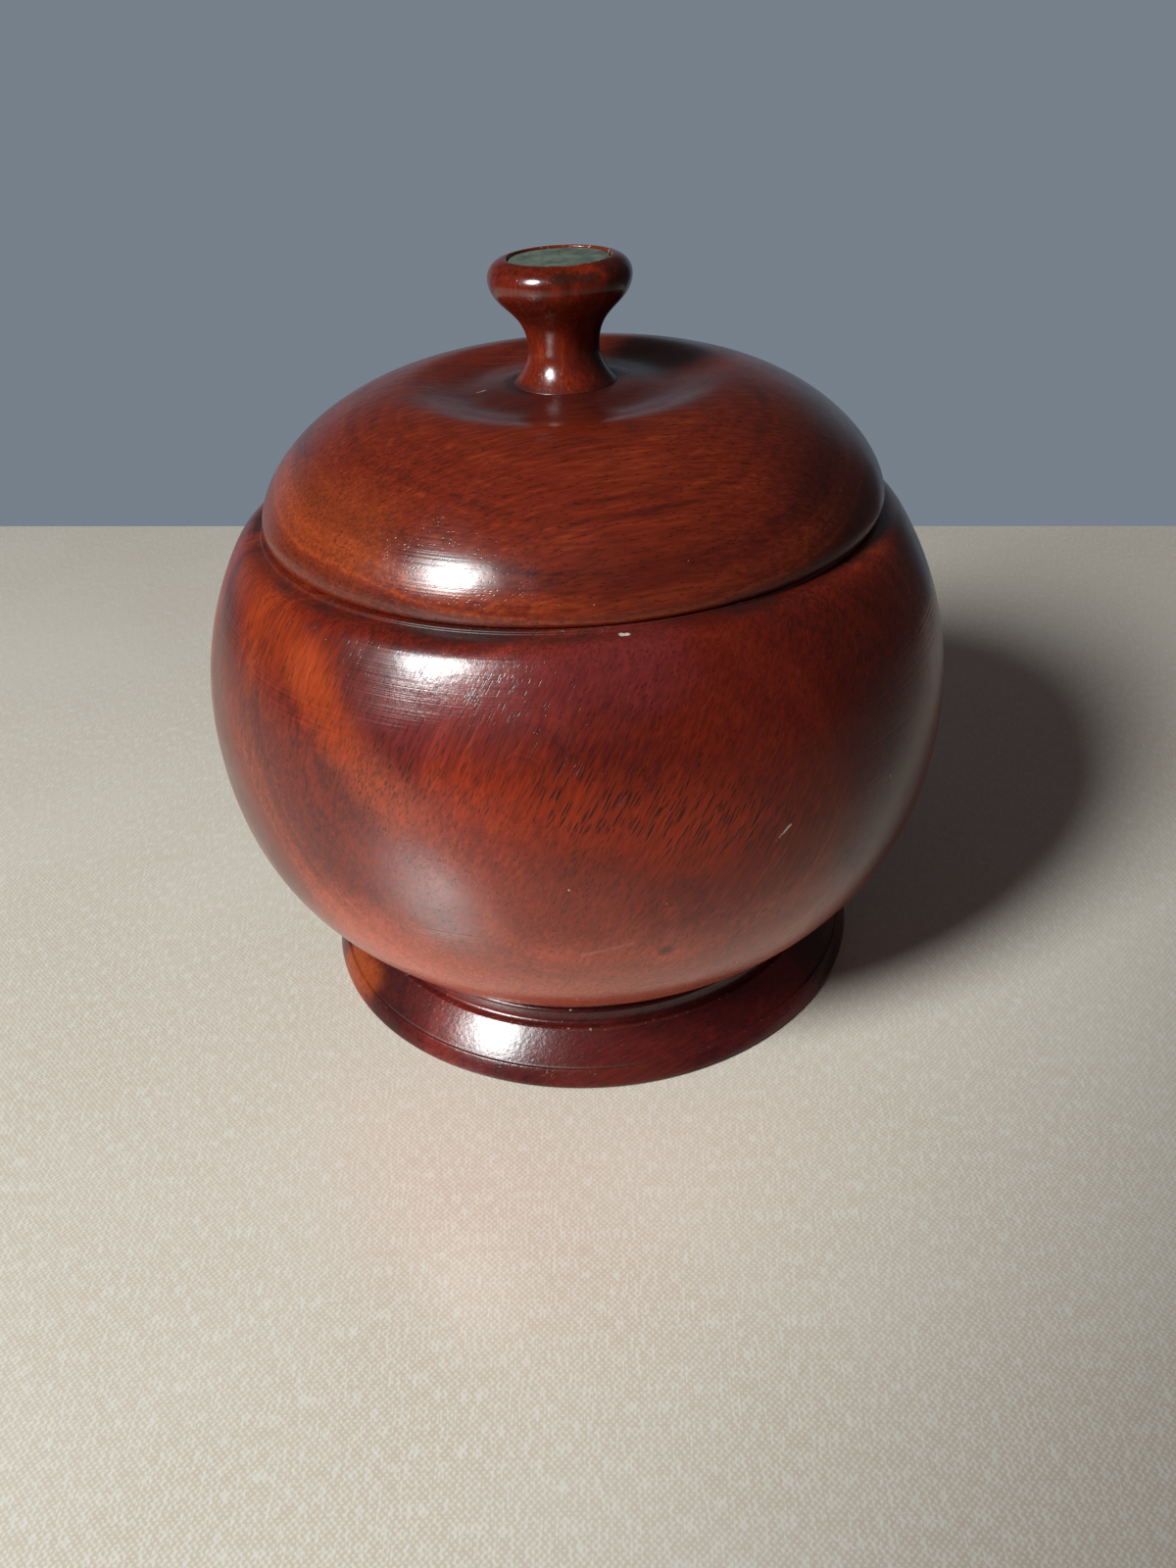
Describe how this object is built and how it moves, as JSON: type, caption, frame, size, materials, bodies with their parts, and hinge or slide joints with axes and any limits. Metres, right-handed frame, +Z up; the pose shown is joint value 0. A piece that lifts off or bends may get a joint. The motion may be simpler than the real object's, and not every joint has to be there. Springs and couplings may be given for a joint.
{
  "type": "wooden storage jar",
  "caption": "Turned wooden storage jar: a round hollow bowl on a moulded foot, with a loose domed lid, a waisted knob and a stone disc let into the knob's top.",
  "frame": {"origin": "centre of the foot's underside, on the surface that the jar stands on", "axes": "+Z up along the jar's turning axis, -Y towards the viewer of the picture, +X to that viewer's right"},
  "size_m": [0.2, 0.2, 0.1943],
  "materials": {
    "foot_wood": "dark purple-red turned hardwood with a streak of orange sapwood, clear gloss varnish",
    "bowl_wood": "red-brown turned hardwood, open short pores filled with varnish, clear gloss finish with fine lathe lines",
    "lid_wood": "orange-brown turned hardwood with straight side grain, clear gloss varnish",
    "knob_wood": "bright orange-red turned hardwood, high gloss varnish",
    "green_stone": "grey-green stone, ground flat, satin"
  },
  "bodies": {
    "jar_base": {"foot": "foot_wood", "bowl": "bowl_wood"},
    "lid_assembly": {"lid": "lid_wood", "knob": "knob_wood", "stone_disc": "green_stone"}
  },
  "joints": [
    {"name": "lid_lift", "type": "slide", "parent": "jar_base", "child": "lid_assembly", "axis": [0, 0, 1], "range_m": [0, 0.12]}
  ]
}
